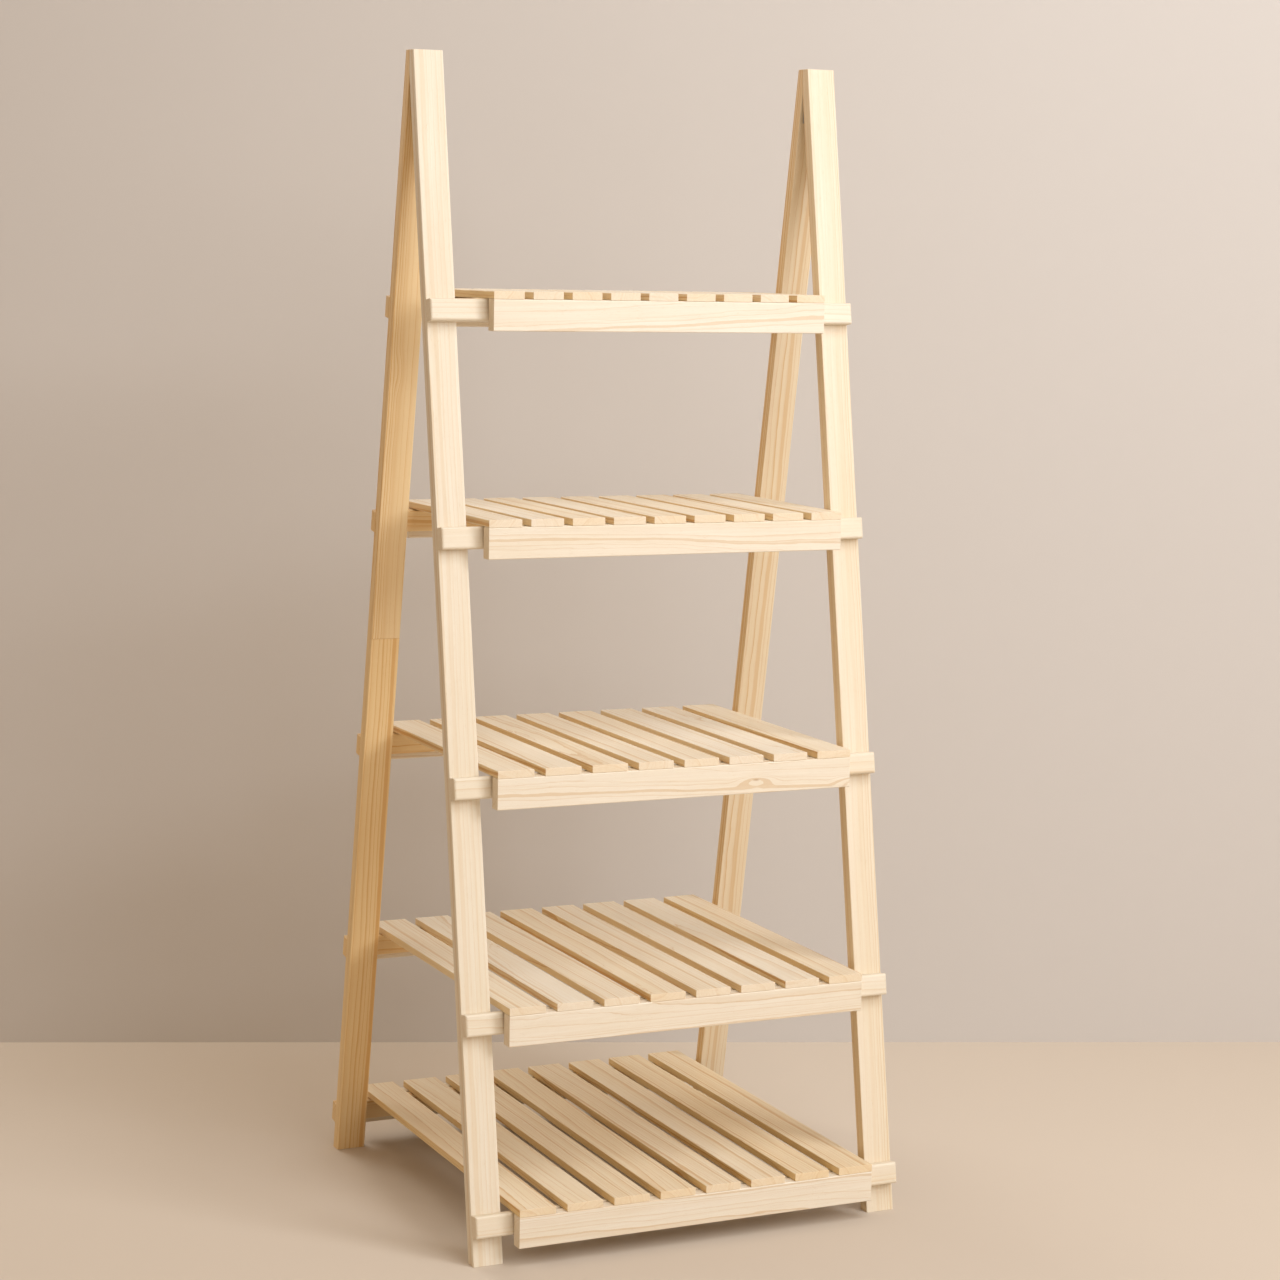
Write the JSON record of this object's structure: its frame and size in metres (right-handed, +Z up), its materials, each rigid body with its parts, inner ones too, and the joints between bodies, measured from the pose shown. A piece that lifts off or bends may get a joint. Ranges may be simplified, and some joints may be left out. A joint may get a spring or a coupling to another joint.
{
  "type": "folding ladder shelf",
  "caption": "Free-standing folding wooden ladder shelf: two hinged leg frames lean together at the top and carry lift-off slatted shelves that get deeper toward the floor.",
  "frame": {"origin": "on the floor, midway between the four feet", "axes": "+X along the shelves to the right as seen from the front, -Y is the front, +Z up"},
  "size_m": [0.6, 0.5834, 1.5],
  "materials": {
    "pine_frame": "planed pine, matt clear finish, grain along each board",
    "pine_shelf": "planed pine, matt clear finish, end grain at the slat ends",
    "beech_dowel": "plain beech",
    "zinc_hinge": "zinc-plated steel",
    "steel_pin": "bright steel",
    "steel_screw": "zinc-plated steel"
  },
  "bodies": {
    "rear_frame": {"rear_left_leg_upper": "pine_frame", "rear_left_leg_lower": "pine_frame", "rear_right_leg": "pine_frame", "rear_crosspiece_1": "pine_frame", "rear_crosspiece_2": "pine_frame", "rear_crosspiece_3": "pine_frame", "rear_crosspiece_4": "pine_frame", "rear_crosspiece_5": "pine_frame", "rear_frame_dowels": "beech_dowel", "rear_left_leg_dowels": "beech_dowel", "rear_hinge_leaf_left": "zinc_hinge", "rear_hinge_leaf_right": "zinc_hinge", "hinge_pin_left": "steel_pin", "hinge_pin_right": "steel_pin", "rear_hinge_screws": "steel_screw"},
    "front_frame": {"front_left_leg": "pine_frame", "front_right_leg": "pine_frame", "front_crosspiece_1": "pine_frame", "front_crosspiece_2": "pine_frame", "front_crosspiece_3": "pine_frame", "front_crosspiece_4": "pine_frame", "front_crosspiece_5": "pine_frame", "front_frame_dowels": "beech_dowel", "front_hinge_leaf_left": "zinc_hinge", "front_hinge_leaf_right": "zinc_hinge", "front_hinge_screws": "steel_screw"},
    "shelf_1": {"shelf_1_front_apron": "pine_shelf", "shelf_1_rear_apron": "pine_shelf", "shelf_1_slats": "pine_shelf", "shelf_1_dowels": "beech_dowel"},
    "shelf_2": {"shelf_2_front_apron": "pine_shelf", "shelf_2_rear_apron": "pine_shelf", "shelf_2_slats": "pine_shelf", "shelf_2_dowels": "beech_dowel"},
    "shelf_3": {"shelf_3_front_apron": "pine_shelf", "shelf_3_rear_apron": "pine_shelf", "shelf_3_slats": "pine_shelf", "shelf_3_dowels": "beech_dowel"},
    "shelf_4": {"shelf_4_front_apron": "pine_shelf", "shelf_4_rear_apron": "pine_shelf", "shelf_4_slats": "pine_shelf", "shelf_4_dowels": "beech_dowel"},
    "shelf_5": {"shelf_5_front_apron": "pine_shelf", "shelf_5_rear_apron": "pine_shelf", "shelf_5_slats": "pine_shelf", "shelf_5_dowels": "beech_dowel"}
  },
  "joints": [
    {"name": "frame_fold", "type": "hinge", "parent": "rear_frame", "child": "front_frame", "pos_m": [0, 0, 1.46874], "axis": [1, 0, 0], "range_deg": [0, 18.5]},
    {"name": "shelf_1_lift_off", "type": "slide", "parent": "rear_frame", "child": "shelf_1", "axis": [0, 0, 1], "range_m": [0, 0.08]},
    {"name": "shelf_2_lift_off", "type": "slide", "parent": "rear_frame", "child": "shelf_2", "axis": [0, 0, 1], "range_m": [0, 0.08]},
    {"name": "shelf_3_lift_off", "type": "slide", "parent": "rear_frame", "child": "shelf_3", "axis": [0, 0, 1], "range_m": [0, 0.08]},
    {"name": "shelf_4_lift_off", "type": "slide", "parent": "rear_frame", "child": "shelf_4", "axis": [0, 0, 1], "range_m": [0, 0.08]},
    {"name": "shelf_5_lift_off", "type": "slide", "parent": "rear_frame", "child": "shelf_5", "axis": [0, 0, 1], "range_m": [0, 0.08]}
  ]
}
